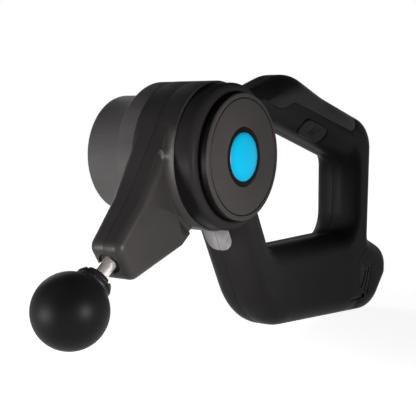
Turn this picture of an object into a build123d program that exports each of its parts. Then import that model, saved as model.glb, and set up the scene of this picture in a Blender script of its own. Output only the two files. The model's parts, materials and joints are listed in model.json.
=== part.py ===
from build123d import *
import os
from math import acos, asin, atan2, cos, degrees, hypot, radians, sin, sqrt

# Percussion massage gun: a motor in a swinging arm, carried by a closed-loop handle.
# The origin is where the arm's swing axis (Y) crosses the handle's mid-plane. +X runs back over
# the loop, +Z is up, and -Y is the side of the round release button. Near parts lie on that
# side, far parts on the motor's side. Sizes are millimetres and degrees.

# Clearances and reach
slide_gap = 0.3              # around what slides
swing_gap = 0.4
running_fit = 0.05           # radial clearance of every running bore
seat_gap = 0.1               # radial clearance of every fixed seat
press_gap = 0.02             # radial clearance of every pressed fit
past = 1.0                   # how far a cut runs past the face it opens
beyond = 60.0                # past the handle's sides, along Y
wide = 500.0                 # past the whole part
least_fillet = 1.0

# Swing joint, stacked along Y
rim_radius = 42.6            # handle's drum, around the release button
rim_wall = 5.4
rim_front = -19.8            # Y of the rim's front edge
rim_rounding = 3.6
web_thickness = 3.0          # floor of the drum, which carries the arm
hub_front = -6.9
hub_wall = 3.0
hub_radius = 43.9
hub_back = 21.1
hub_clearance = 0.8          # between the hub and the handle around it
hub_hole = hub_radius + hub_clearance
swing_limit = 90.0           # degrees the arm swings up from its lowest stop
web_back = hub_front - swing_gap
web_front = web_back - web_thickness
arm_mid = (hub_front + hub_back) / 2
pivot_bush_radius = 15.0
pivot_bush_lip = 1.2
spindle_radius = 12.0
spindle_wall = 3.0
spindle_flange = 8.0
spindle_flange_thickness = 2.0
retainer_band = 4.5
retainer_thickness = 1.6
retainer_back = web_front - pivot_bush_lip - swing_gap
spindle_stub = 1.2           # spindle's end beyond its retainer
spindle_front = retainer_back - retainer_thickness - spindle_stub

# Loop handle: corners (X, Z) of its two outlines with the radius of each
case_half = 17.0             # half its thickness along Y
case_edge = 13.0             # rounding of its long edges
case_wall = 3.6
cover_wall = 1.6             # soft skins let into the case
outer_corners = [
    ((-17.5, 0.0), 0),
    ((41.2, -110.8), 52),
    ((196.0, -122.7), 28),
    ((219.5, -99.0), 8),
    ((219.5, -78.6), 18),
    ((188.6, -66.2), 3),
    ((191.4, 17.3), 24),
    ((118.0, 36.9), 150),
    ((75.9, 51.9), 39),
    ((-17.5, 23.0), 0),
]
window_corners = [
    ((50.5, -60.0), 10),
    ((156.3, -60.0), 14),
    ((156.3, -8.3), 7),
    ((30.0, 27.6), 0),
    ((29.9, -20.0), 0),
]
groove_width = 0.35          # shadow line where shells meet
groove_depth = 0.45

# Soft cover on the top bar, above this seam
cover_seam = [(20, 38.5), (32, 36.6), (41.4, 33.1), (50, 29.0), (56.8, 27.9), (66, 30.2), (76.8, 30.6)]
cover_seam_slopes = (-0.05, -0.2)
cover_seam_end = (148.0, 13.0)
cover_turn_end = (160.0, 25.9)
cover_rear = 166.0
cover_top = 80.0             # over the handle's highest point
cover_gap = 0.3

# Indicator lens: a tab on the strut's front face, below the drum
lens_width = 19.0
lens_length = 30.0
lens_flat = 3.0              # straight bit at the tab's foot
lens_corner = (lens_width - lens_flat) / 2
lens_drop = 12.8             # how far it reaches below the hub
lens_bottom = -(hub_hole + lens_drop)
lens_reach = 6.0
lens_gap = 0.15
lens_seat = 0.05
lens_hub_gap = 0.2
lens_board_inset = 3.0
strut_top, strut_foot = outer_corners[0][0], outer_corners[1][0]
strut_run = (strut_foot[0] - strut_top[0]) / -strut_foot[1]  # strut's front face, X per Z

# Case screws: far side, (X, Z)
screw_spots = [(68, 36), (172, 4), (172, -48), (36, -76), (62, -99), (150, -67.5)]
screw_radius = 1.5
screw_post = 3.6
screw_head = 2.8
head_thickness = 2.0
screw_sink = 6.0             # depth of the head below the far face
screw_reach = 8.0            # length of screw in the near shell
post_sink = 2.0              # depth of the posts' feet in the case's wall

# Power button, let into the lower near flank of the top bar
bar_slope = asin(0.27)
button_across = radians(38)   # how far its face turns down from -Y
bar_inner_edge = (102.8, 20.2)  # centre of the bar's lower edge rounding, in X and Z
power_length, power_width = 30.0, 12.5
power_corner = 5.4
power_edge = 0.8
power_dish = 1.7              # depth of the dish around the button
power_margin = 2.2            # width of the dish around the button
power_travel = 1.2
power_top = -0.3              # button's face, over the skin
power_depth = 3.9
power_flange = 1.0
power_flange_lap = 2.4
power_flange_width = 4.6
power_stem = 1.3
power_stem_width = 4.0
power_reach = 20.0
power_bore = 12.0
power_mark_pitch, power_mark_count = 3.2, 3
power_mark_length, power_mark_width, power_mark_depth = 7.5, 0.9, 0.5
power_mark_lean = 68.0        # degrees
switch_board_length, switch_board_width = 27.0, 16.2
switch_board_thickness, switch_board_corner = 1.2, 1.0
switch_size, switch_height = 6.0, 2.6
switch_post_length, switch_post_width = 23.0, 12.0
switch_post_radius = 1.2
switch_post_top = 7.3         # depth of the posts' ends below the skin

# Control board in the top bar, on posts from the far shell
board_post = 6.3
board_post_radius = 2.0
board_face = case_half - case_wall - board_post - seat_gap
board_centre = (136, 14)
board_length, board_width, board_thickness = 52.0, 20.0, 1.6
board_post_spots = [(118, 19), (154, 9)]
chip_spots = [(124, 17), (139, 13), (152, 9.5)]
chip_size, chip_height = 8.0, 2.2

# Battery end, behind this seam
battery_seam = [(215.0, -56.0), (178.0, -75.0), (167.0, -81.5), (165.0, -135.0)]
battery_gap = 0.3
rear_end = 260.0             # X behind the whole handle
cap_front_wall = 2.4

# Battery bay, centred on the mid-plane
bay_front, bay_back = 76.0, 164.0
bay_mouth = 100.0            # X from which the bay's passage is cut
bay_top, bay_bottom = -73.0, -105.4
bay_side_gap = 5.0
bay_half = case_half - bay_side_gap
bay_wall = 1.0
bay_corner = 3.0
bay_clearance = 6.0          # from the bay's end to the seam
frame_depth, frame_gap = 8.0, 0.4
frame_top = -66.0
terminal_height, terminal_thickness = 14.0, 5.0
blade_pitch, blade_count = 5.0, 3
blade_thickness, blade_height, blade_length = 1.0, 9.0, 2.2

# Battery pack
contact_room = 8.0           # ahead of the pack, for its contacts
case_front = bay_front + bay_wall + contact_room
case_end = 186.0
case_thickness = 1.4
cell_count = 4
cell_gap = 0.2
cell_corner = 1.5
cell_front_gap, cell_rear_gap = 2.0, 10.0
socket_front, socket_back = 204.6, 219.0
socket_height = -93.5
socket_outer = 4.6
socket_radius = 2.75
socket_depth = 9.5

# Grip grooves in the end cap's near face: curved lines, each a step behind the last
grip_count = 3
grip_top, grip_top_step = (176.7, -90.0), (5.0, 1.4)
grip_low, grip_low_step = (170.5, -102.0), (4.2, -2.8)
grip_bulge = 1.2
grip_groove_width, grip_groove_depth = 1.0, 0.7

# Latch tongue in the slot where battery and handle meet
latch_slot = (155.5, 176.5)
latch_height = -109.0
latch_width = 3.2
latch_recess = 1.3
latch_travel = 1.5
latch_rest = 0.5             # left under the pressed tongue
latch_floor = -11.0
latch_room = 1.0

# Release button, its badge and lock
button_gap = 0.5             # between the button and the drum around it
button_radius = rim_radius - rim_wall - button_gap
button_face = -25.6
button_edge = 0.8
button_rim = 2.0
button_wall = 2.5
button_groove_inset = 3.0
button_groove = button_radius - button_groove_inset
button_groove_width, button_groove_depth = 0.7, 0.4
button_travel = 3.5
skirt_rest = 0.8             # left behind the pressed button's skirt
button_skirt = web_front - button_travel - skirt_rest
badge_radius = 14.0
badge_ring_radius = 17.3
badge_ring_drop = 0.3
badge_ring_chamfer = 0.25
badge_sink = 1.6
badge_lip = 0.2              # depth of the dome's edge below the button's face
badge_dome = 1.0
spring_wire = 1.2
spring_radius = 20.0
spring_pitch = 3.6
spring_height = 11.0
lock_circle = 27.0
lock_pin_radius = 2.5
lock_plate = 1.6
lock_band = 3.2
lock_engagement = 1.2        # how far the pins reach into the hub

# Arm: along its axis and across it, seen from the release button's side
arm_dip = 34.0               # degrees below -X at rest
arm_knee = (66.0, 19.0)
arm_tip = (97.0, 11.2)
arm_lower_tip = 13.0         # how far the tip's lower corner lies off the axis
arm_lower_knee = (53.0, 24.6)
arm_lower_root = (30.0, 22.6)
arm_half_at_hub = 15.0       # half its width along Y
arm_half_at_tip = 11.0
arm_wall = 3.0
arm_edge = 5.0
arm_root_dip = 0.6           # how far its flanks run in below the hub's rim
arm_corner = 6.5
relief_radius = 49.8         # step around the drum in the arm's near face
relief_depth = 5.4
throat_end = 54.0
arm_screw_spots = [(58, 16.2), (58, -16.2), (80, 11), (80, -11)]
arm_screw_tip = -1.0
arm_screw_head = 14.4

# Shaft bush and seal in the arm's nose
bush_start = 58.0
seal_room = 7.0
bush_end = arm_tip[0] - seal_room
bush_radius = 7.0
seal_radius = 6.6
seal_recess = 1.0

# Motor barrel
ring_back = 33.6
ring_radius = hub_radius - 0.1
ring_wall = 2.8
ring_edge = 1.0
ring_chamfer = 0.4
barrel_radius = 35.9
barrel_front = ring_back - 8.0
barrel_back = 64.2
barrel_wall = 2.6
barrel_edge = 3.0
barrel_gap = 0.25
barrel_flange = 2.9

# Motor
motor_gap = 3.3              # between the motor and the barrel
motor_radius = barrel_radius - barrel_wall - motor_gap
can_front = hub_back - 2 * seat_gap
can_length = 34.0
can_back = can_front + can_length
can_wall = 1.5
motor_plate_thickness = 2.8
motor_plate_bore = 9.5
motor_shaft_radius = 3.0
motor_shaft_end = 0.6        # shaft's end beyond the can
bearing_radius = 8.0
bearing_width = 4.6
bearing_floor = 1.2
bearing_cup = 6.0
bearing_cup_wall = 2.0
bell_thickness = 2.2
bell_cup = 4.5
vent_inset = 11.0            # from the motor's side to the vents' circle
vent_circle, vent_count, vent_radius = motor_radius - vent_inset, 6, 4.0
stator_front = can_front + 8.0
stator_back = stator_front + 19.0
stator_depth = 7.0           # from the motor's side to the stator's bore
stator_bore = motor_radius - stator_depth
stator_teeth = 9
tooth_inset, shoe_inset = 4.4, 8.6  # from the stator's bore
tooth_circle, tooth_length, tooth_width = stator_bore - tooth_inset, 9.4, 3.2
shoe_circle, shoe_thickness, shoe_width = stator_bore - shoe_inset, 1.4, 6.2
winding_length, winding_side, winding_height = 6.4, 1.2, 2.0
rotor_inset = 1.6            # from the shoes' circle
rotor_radius = shoe_circle - rotor_inset
magnet_count = 8
magnet_slot_depth, magnet_slot_width = 1.2, 1.0

# Stroke: crank, yoke and shaft
stroke = 16.0
stroke_in = 4.0              # travel from rest towards the arm
shaft_radius = 4.0
shaft_chamfer = 0.6
crank_thickness = 4.0
crank_front = arm_mid + 6.6
crank_boss = 6.5
counterweight_radius = 19.0
pin_radius = 2.5
pin_boss = 5.0
pin_end = 0.4
roller_radius = 5.0
yoke_thickness = 5.0
yoke_front = arm_mid - yoke_thickness / 2
yoke_bar = 4.0
yoke_corner, yoke_outer_corner = 4.0, 7.0
yoke_clearance = 0.5
yoke_boss = 5.4
yoke_boss_length = 9.0
yoke_boss_root = 0.5

# Massage head, along the arm's axis
ball_radius = 20.4
ball_centre = 133.6
collar_start = 110.0
collar_radius = 10.6
collar_length = 4.8
collar_groove_start, collar_groove_end = 3.0, 4.2  # from the collar's start
collar_groove_depth = 1.2
collar_lap = 2.6
collar_lip = 2.4
collar_chamfer = 1.2
collar_nose = 2.2
collar_draft = 0.2
collar_floor = 3.0
collar_wall = 3.2
collar_slot = 2.2
shaft_tip = 126.6
insert_radius = 7.9
insert_end = 3.0             # beyond the shaft's tip
insert_room = 0.6

os.makedirs("parts", exist_ok=True)


def upright(y):
    """A plane across the swing axis; sketches on it are drawn in X and Z, and it faces -Y."""
    return Plane.XZ.offset(-y)


def arm_plane(y=arm_mid):
    """A plane across the swing axis with x along the arm and y towards its upper flank; it faces +Y."""
    dip = radians(arm_dip)
    return Plane(origin=(0, y, 0), x_dir=(-cos(dip), 0, -sin(dip)), z_dir=(0, 1, 0))


def arm_station(distance):
    """A plane square to the arm's axis, at a distance from the swing axis, facing the head."""
    base = arm_plane()
    return Plane(origin=base.from_local_coords((distance, 0, 0)), x_dir=(0, 1, 0), z_dir=base.x_dir)


def drum(radius, y_from, y_to):
    """A round slug on the swing axis."""
    with BuildPart() as slug:
        with BuildSketch(upright(y_to)):
            Circle(radius)
        extrude(amount=y_to - y_from)
    return slug.part


def rod(radius, start, end):
    """A round slug on the arm's axis."""
    with BuildPart() as slug:
        with BuildSketch(arm_station(start)):
            Circle(radius)
        extrude(amount=end - start)
    return slug.part


def draw_corners(corners):
    """A face through the corners, each rounded by its own radius."""
    with BuildSketch() as face:
        with BuildLine():
            Polyline(*[corner for corner, radius in corners], close=True)
        make_face()
        for corner, radius in corners:
            if radius:
                fillet(face.vertices().sort_by_distance(corner)[0], radius)
    return face.sketch


def loop_block(inset):
    """The handle's rounded loop as a solid, with its skin taken down by the inset."""
    half = case_half - inset
    edge = case_edge - inset
    with BuildPart() as slab:
        with BuildSketch(Plane.XZ):
            add(draw_corners(outer_corners))
            if inset:
                offset(amount=-inset)
        extrude(amount=half, both=True)
        fillet(slab.faces().filter_by(Axis.Y).edges(), edge)
    with BuildPart() as frame:
        with BuildSketch(Plane.XZ):
            Rectangle(2 * wide, 2 * wide)
        extrude(amount=half, both=True)
        with BuildSketch(Plane.XZ):
            add(draw_corners(window_corners))
            if inset:
                offset(amount=inset)
        extrude(amount=half, both=True, mode=Mode.SUBTRACT)
        rim = [e for f in frame.faces().filter_by(Axis.Y) for e in f.inner_wires().edges()]
        fillet(rim, edge)
    with BuildPart() as block:
        add(slab.part)
        add(frame.part, mode=Mode.INTERSECT)
    return block.part


def groove_band():
    """A thin hoop at the parting plane that leaves a shadow line when it is cut away."""
    with BuildPart() as band:
        with BuildSketch(Plane.XZ):
            add(draw_corners(outer_corners))
            offset(amount=-groove_depth)
            add(draw_corners(window_corners), mode=Mode.SUBTRACT)
        extrude(amount=groove_width / 2, both=True)
    with BuildPart() as window_lip:
        with BuildSketch(Plane.XZ):
            add(draw_corners(window_corners))
            offset(amount=groove_depth)
            add(draw_corners(window_corners), mode=Mode.SUBTRACT)
        extrude(amount=groove_width / 2, both=True)
    with BuildPart() as hoop:
        with BuildSketch(Plane.XZ):
            add(draw_corners(outer_corners))
        extrude(amount=groove_width / 2, both=True)
        add(band.part, mode=Mode.SUBTRACT)
        add(window_lip.part)
    return hoop.part


def region(points, grow=0.0):
    """A prism across the handle over a polygon in X and Z."""
    with BuildPart() as prism:
        with BuildSketch(Plane.XZ):
            with BuildLine():
                Polyline(*points, close=True)
            make_face()
            if grow:
                offset(amount=grow, kind=Kind.INTERSECTION)
        extrude(amount=beyond, both=True)
    return prism.part


def half_space(side):
    """Everything on one side of the parting plane: -1 is near, +1 is far."""
    with BuildPart() as half:
        along_y = Align.MIN if side > 0 else Align.MAX
        Box(2 * wide, wide, 2 * wide, align=(Align.CENTER, along_y, Align.CENTER))
    return half.part


def cover_region(grow=0.0):
    """What the grip cover takes of the handle: all above its seam, with a round rear end."""
    with BuildPart() as prism:
        with BuildSketch(Plane.XZ):
            with BuildLine():
                points = [(x, z - grow) for x, z in cover_seam]
                seam = Spline(*points, tangents=[(1, slope) for slope in cover_seam_slopes])
                rear = Line(seam @ 1, (cover_seam_end[0], cover_seam_end[1] - grow))
                turn = TangentArc(rear @ 1, (cover_turn_end[0] + grow, cover_turn_end[1]), tangent=rear % 1)
                Polyline(turn @ 1, (cover_rear + grow, cover_top), (cover_seam[0][0], cover_top), seam @ 0)
            make_face()
        extrude(amount=beyond, both=True)
    return prism.part


def battery_region(grow=0.0):
    """What the battery's end cap takes of the handle: all behind its seam."""
    rear = [(rear_end, battery_seam[-1][1]), (rear_end, battery_seam[0][1])]
    return region(battery_seam + rear, grow=grow)


def arm_outline(inset):
    """The arm's outline along and across its axis: the upper flank leaves the hub at a tangent."""
    knee_x, knee_y = arm_knee
    root_radius = hub_radius - arm_root_dip
    lean = atan2(knee_y, knee_x) + acos(root_radius / hypot(knee_x, knee_y))
    root = (root_radius * cos(lean), root_radius * sin(lean))
    upper = [root, arm_knee, arm_tip]
    lower = [(arm_tip[0], arm_lower_tip), arm_lower_knee, arm_lower_root]
    with BuildSketch() as face:
        with BuildLine():
            Polyline((0, 0), *upper, *[(x, -y) for x, y in lower], close=True)
        make_face()
        fillet(face.vertices().group_by(Axis.X)[-1], arm_corner)
        if inset:
            offset(amount=-inset, kind=Kind.INTERSECTION)
    return face.sketch


def arm_wedge_slice(inset):
    """A thin slice of the arm at its mid-plane."""
    with BuildPart() as slice:
        with BuildSketch(arm_plane()):
            add(arm_outline(inset))
            Circle(hub_radius - inset)
        extrude(amount=groove_width / 2, both=True)
    return slice.part


def arm_wedge(inset):
    """The arm's tapered wedge as a solid, with its skin taken down by the inset."""
    tip_x = arm_tip[0]
    with BuildPart() as taper:
        with BuildSketch(Plane(origin=(0, arm_mid, 0), x_dir=arm_plane().x_dir, z_dir=arm_plane().y_dir)):
            with BuildLine():
                Polyline(
                    (0, -arm_half_at_hub + inset),
                    (0, arm_half_at_hub - inset),
                    (tip_x, arm_half_at_tip - inset),
                    (tip_x, -arm_half_at_tip + inset),
                    close=True,
                )
            make_face()
        extrude(amount=beyond, both=True)
    with BuildPart() as wedge:
        with BuildSketch(arm_plane()):
            add(arm_outline(inset))
        extrude(amount=beyond, both=True)
        add(taper.part, mode=Mode.INTERSECT)
        sides = wedge.faces().filter_by(lambda f: abs(f.normal_at().Y) > 0.9)
        fillet(sides.edges(), max(arm_edge - inset, least_fillet))
    return wedge.part


loop = loop_block(0)
loop_under_cover = loop_block(cover_wall)
loop_cavity = loop_block(case_wall)
parting_hoop = groove_band()
cover_cut = cover_region(cover_gap / 2)
battery_cut = battery_region(battery_gap / 2)
hub_space = drum(hub_hole, web_back, beyond)

def bay_slug(inset, x_from, x_to):
    """A box along the battery bay, smaller than the bay's outside by the inset."""
    with BuildPart() as slug:
        with BuildSketch(Plane.YZ.offset(x_from)):
            with Locations((0, (bay_top + bay_bottom) / 2)):
                corner = max(bay_corner - inset, least_fillet)
                RectangleRounded(2 * (bay_half - inset), bay_top - bay_bottom - 2 * inset, corner)
        extrude(amount=x_to - x_from)
    return slug.part


power_normal = Vector(
    -sin(button_across) * sin(bar_slope),
    -cos(button_across),
    -sin(button_across) * cos(bar_slope),
)
bar_direction = Vector(cos(bar_slope), 0, -sin(bar_slope))
edge_centre = Vector(bar_inner_edge[0], -(case_half - case_edge), bar_inner_edge[1])


def power_plane(height):
    """A plane across the power button's travel, at a height over the case's skin."""
    return Plane(
        origin=edge_centre + power_normal * (case_edge + height),
        x_dir=bar_direction,
        z_dir=power_normal,
    )


def power_slug(grow, top, bottom):
    """A slug of the power button's outline, between two heights over the case's skin."""
    with BuildPart() as slug:
        with BuildSketch(power_plane(bottom)):
            RectangleRounded(power_length + 2 * grow, power_width + 2 * grow, power_corner + grow)
        extrude(amount=top - bottom)
    return slug.part


def lens_slug(grow, depth_from, depth_to):
    """The lens's outline through the strut's front skin, between two depths below it."""
    lean = atan2(strut_run, 1)
    down = Vector(sin(lean), 0, -cos(lean))
    inward = Vector(cos(lean), 0, sin(lean))
    foot = Vector(strut_top[0] - strut_run * lens_bottom, 0, lens_bottom)
    with BuildPart() as slug:
        with BuildSketch(Plane(origin=foot + inward * depth_from, x_dir=(0, 1, 0), z_dir=inward)) as tab:
            side = 1 if tab.workplanes[0].y_dir.dot(down) < 0 else -1
            with Locations((0, side * lens_length / 2)):
                Rectangle(lens_width + 2 * grow, lens_length + 2 * grow)
            low = tab.vertices().group_by(Axis.Y)[0 if side > 0 else -1]
            fillet(low, lens_corner + grow)
        extrude(amount=depth_to - depth_from)
    return slug.part


def latch_slug(grow, x_from, x_to, y_from, y_to):
    """A flat tongue along X near the case's lower near edge."""
    with BuildPart() as slug:
        with BuildSketch(upright(y_to)):
            with Locations(((x_from + x_to) / 2, latch_height)):
                Rectangle(x_to - x_from + 2 * grow, latch_width + 2 * grow)
        extrude(amount=y_to - y_from)
    return slug.part


def posts(y_from, y_to, radius):
    """Round posts between the half-shells, one at each screw."""
    with BuildPart() as group:
        with BuildSketch(upright(y_to)):
            with Locations(*screw_spots):
                Circle(radius)
        extrude(amount=y_to - y_from)
    return group.part


def hollow():
    """The handle's inside, kept a wall's thickness away from the hub."""
    with BuildPart() as space:
        add(loop_cavity)
        add(drum(hub_hole + case_wall, -beyond, beyond), mode=Mode.SUBTRACT)
    return space.part


def cover_pocket():
    """All of the cover's region outside the case's inner skin, and clear of the drum."""
    with BuildPart() as pocket:
        add(cover_cut)
        add(loop_under_cover, mode=Mode.SUBTRACT)
        add(drum(rim_radius + cover_gap, -beyond, web_back), mode=Mode.SUBTRACT)
    return pocket.part


def lens_pocket():
    """The indicator lens's seat, clear of the drum and the hub."""
    with BuildPart() as pocket:
        add(lens_slug(lens_gap, -lens_reach, cover_wall))
        add(drum(hub_hole, -beyond, beyond), mode=Mode.SUBTRACT)
    return pocket.part


def cap_wall():
    """The wall behind the battery seam that closes the end cap's front."""
    with BuildPart() as wall:
        add(loop_under_cover)
        add(battery_region(-battery_gap / 2), mode=Mode.INTERSECT)
        add(battery_region(-battery_gap / 2 - cap_front_wall), mode=Mode.SUBTRACT)
    return wall.part


def arm_parting():
    """A thin hoop round the arm at its mid-plane that leaves a shadow line between its shells."""
    with BuildPart() as hoop:
        add(arm_wedge_slice(0))
        add(arm_wedge_slice(groove_depth), mode=Mode.SUBTRACT)
    return hoop.part


def arm_screw_slugs(y_from, y_to, radius):
    """Round slugs across the arm, one at each of its screws."""
    with BuildPart() as group:
        with BuildSketch(arm_plane(y_from)):
            with Locations(*arm_screw_spots):
                Circle(radius)
        extrude(amount=y_to - y_from)
    return group.part


def lock_pins(radius, y_from, y_to):
    """The two lock pins' outlines, on the swing plate's circle."""
    with BuildPart() as pair:
        with BuildSketch(upright(y_to)):
            with PolarLocations(lock_circle, 2):
                Circle(radius)
        extrude(amount=y_to - y_from)
    return pair.part


handle_hollow = hollow()
cover_tool = cover_pocket()
lens_tool = lens_pocket()

# ---- Handle ----
with BuildPart() as near_shell:
    add(loop)
    add(half_space(-1), mode=Mode.INTERSECT)
    add(hub_space, mode=Mode.SUBTRACT)
    add(handle_hollow, mode=Mode.SUBTRACT)
    add(posts(-case_half + post_sink, 0, screw_post))
    add(posts(-screw_reach, past, screw_radius), mode=Mode.SUBTRACT)
    add(cover_tool, mode=Mode.SUBTRACT)
    add(drum(rim_radius, rim_front, web_back))
    rim_edge = near_shell.edges().filter_by(GeomType.CIRCLE).group_by(Axis.Y)[0]
    fillet(rim_edge, rim_rounding)
    add(drum(rim_radius - rim_wall, -beyond, web_front), mode=Mode.SUBTRACT)
    add(drum(pivot_bush_radius + seat_gap, -beyond, 0), mode=Mode.SUBTRACT)
    add(lock_pins(lock_pin_radius + slide_gap, -beyond, 0), mode=Mode.SUBTRACT)
    add(battery_cut, mode=Mode.SUBTRACT)
    add(bay_slug(-slide_gap, bay_mouth, wide), mode=Mode.SUBTRACT)
    add(parting_hoop, mode=Mode.SUBTRACT)
    add(lens_tool, mode=Mode.SUBTRACT)
    add(power_slug(power_margin, power_reach, -power_dish), mode=Mode.SUBTRACT)
    add(power_slug(slide_gap, power_reach, -power_bore), mode=Mode.SUBTRACT)
    add(latch_slug(0, latch_slot[0], wide, -beyond, latch_floor), mode=Mode.SUBTRACT)
near_shell.part.label = "handle_near_shell"
export_step(near_shell.part, "parts/handle_near_shell.step")

with BuildPart() as far_shell:
    add(loop)
    add(half_space(1), mode=Mode.INTERSECT)
    add(handle_hollow, mode=Mode.SUBTRACT)
    add(posts(0, case_half - post_sink, screw_post))
    add(cover_tool, mode=Mode.SUBTRACT)
    add(posts(-past, beyond, screw_radius + seat_gap), mode=Mode.SUBTRACT)
    add(posts(case_half - screw_sink, beyond, screw_head + seat_gap), mode=Mode.SUBTRACT)
    add(hub_space, mode=Mode.SUBTRACT)
    add(battery_cut, mode=Mode.SUBTRACT)
    add(bay_slug(-slide_gap, bay_mouth, wide), mode=Mode.SUBTRACT)
    add(parting_hoop, mode=Mode.SUBTRACT)
    add(lens_tool, mode=Mode.SUBTRACT)
far_shell.part.label = "handle_far_shell"
export_step(far_shell.part, "parts/handle_far_shell.step")

with BuildPart() as grip_cover:
    add(loop)
    add(loop_under_cover, mode=Mode.SUBTRACT)
    add(cover_region(-cover_gap / 2), mode=Mode.INTERSECT)
    add(drum(rim_radius + 2 * cover_gap, -beyond, web_back + cover_gap), mode=Mode.SUBTRACT)
    add(drum(hub_hole + cover_gap, web_back, beyond), mode=Mode.SUBTRACT)
grip_cover.part.label = "grip_cover"
export_step(grip_cover.part, "parts/grip_cover.step")

with BuildPart() as indicator_lens:
    add(loop)
    add(lens_slug(0, -lens_reach, cover_wall - lens_seat), mode=Mode.INTERSECT)
    add(drum(hub_hole + lens_hub_gap, -beyond, beyond), mode=Mode.SUBTRACT)
indicator_lens.part.label = "indicator_lens"
export_step(indicator_lens.part, "parts/indicator_lens.step")

with BuildPart() as case_screws:
    add(posts(-screw_reach, case_half - screw_sink, screw_radius - press_gap))
    add(posts(case_half - screw_sink, case_half - screw_sink + head_thickness, screw_head))
case_screws.part.label = "case_screws"
export_step(case_screws.part, "parts/case_screws.step")

# ---- Power button and its switch ----
with BuildPart() as power_button:
    add(power_slug(0, power_top, power_top - power_depth))
    cap = power_button.faces().sort_by(Axis(origin=(0, 0, 0), direction=power_normal))[-1]
    fillet(cap.edges(), power_edge)
    with BuildSketch(power_plane(power_top)):
        with GridLocations(power_mark_pitch, 0, power_mark_count, 1):
            SlotOverall(power_mark_length, power_mark_width, rotation=power_mark_lean)
    extrude(amount=-power_mark_depth, mode=Mode.SUBTRACT)
    with BuildSketch(power_plane(power_top - power_depth)):
        Rectangle(power_length + power_flange_lap, power_flange_width)
    extrude(amount=-power_flange)
    with BuildSketch(power_plane(power_top - power_depth - power_flange)):
        Rectangle(power_stem_width, power_stem_width)
    extrude(amount=-power_stem)
power_button.part.label = "power_button"
export_step(power_button.part, "parts/power_button.step")

stem_end = power_top - power_depth - power_flange - power_stem
board_height = stem_end - power_travel - slide_gap - switch_height
with BuildPart() as power_switch:
    with BuildSketch(power_plane(board_height)):
        RectangleRounded(switch_board_length, switch_board_width, switch_board_corner)
    extrude(amount=-switch_board_thickness)
    with BuildSketch(power_plane(board_height)):
        Rectangle(switch_size, switch_size)
    extrude(amount=switch_height)
    with BuildSketch(power_plane(board_height)):
        with GridLocations(switch_post_length, switch_post_width, 2, 2):
            Circle(switch_post_radius)
    extrude(amount=-board_height - switch_post_top)
power_switch.part.label = "power_switch"
export_step(power_switch.part, "parts/power_switch.step")

# ---- Boards inside the handle ----
with BuildPart() as control_board:
    with BuildSketch(upright(board_face)):
        with Locations(board_centre):
            Rectangle(board_length, board_width, rotation=-degrees(bar_slope))
    extrude(amount=board_thickness)
    with BuildSketch(upright(board_face - board_thickness)):
        with Locations(*chip_spots):
            Rectangle(chip_size, chip_size, rotation=-degrees(bar_slope))
    extrude(amount=chip_height)
    with BuildSketch(upright(board_face + board_post)):
        with Locations(*board_post_spots):
            Circle(board_post_radius)
    extrude(amount=board_post)
control_board.part.label = "control_board"
export_step(control_board.part, "parts/control_board.step")

with BuildPart() as indicator_board:
    add(lens_slug(-lens_board_inset, case_wall + slide_gap, case_wall + slide_gap + board_thickness))
    add(drum(hub_hole + case_wall + lens_board_inset, -beyond, beyond), mode=Mode.SUBTRACT)
indicator_board.part.label = "indicator_board"
export_step(indicator_board.part, "parts/indicator_board.step")

# ---- Battery bay and pack ----
with BuildPart() as battery_bay:
    add(bay_slug(0, bay_front, bay_back))
    add(bay_slug(bay_wall, bay_front + bay_wall, wide), mode=Mode.SUBTRACT)
    add(battery_region(bay_clearance), mode=Mode.SUBTRACT)
battery_bay.part.label = "battery_bay"
export_step(battery_bay.part, "parts/battery_bay.step")

below = battery_seam[-1][1]
with BuildPart() as bay_frame:
    add(loop_cavity)
    add(battery_region(frame_depth), mode=Mode.INTERSECT)
    add(battery_region(frame_gap), mode=Mode.SUBTRACT)
    add(region([(bay_mouth, frame_top), (rear_end, frame_top), (rear_end, below), (bay_mouth, below)]),
        mode=Mode.INTERSECT)
    add(bay_slug(-slide_gap, bay_mouth, rear_end), mode=Mode.SUBTRACT)
    add(latch_slug(latch_room, bay_mouth, wide, -beyond, latch_floor + 2 * latch_room), mode=Mode.SUBTRACT)
bay_frame.part.label = "battery_bay_frame"
export_step(bay_frame.part, "parts/battery_bay_frame.step")

with BuildPart() as terminal_block:
    with BuildSketch(Plane.YZ.offset(bay_front + bay_wall)):
        with Locations((0, (bay_top + bay_bottom) / 2)):
            Rectangle(2 * (bay_half - bay_wall - seat_gap), terminal_height)
    extrude(amount=terminal_thickness)
    with BuildSketch(Plane.YZ.offset(bay_front + bay_wall + terminal_thickness)):
        with Locations((0, (bay_top + bay_bottom) / 2)):
            with GridLocations(blade_pitch, 0, blade_count, 1):
                Rectangle(blade_thickness, blade_height)
    extrude(amount=blade_length)
terminal_block.part.label = "battery_terminal_block"
export_step(terminal_block.part, "parts/battery_terminal_block.step")

with BuildPart() as battery_case:
    add(bay_slug(bay_wall + slide_gap, case_front, case_end))
    inset = bay_wall + slide_gap + case_thickness
    add(bay_slug(inset, case_front + case_thickness, case_end - case_thickness), mode=Mode.SUBTRACT)
battery_case.part.label = "battery_case"
export_step(battery_case.part, "parts/battery_case.step")

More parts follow.
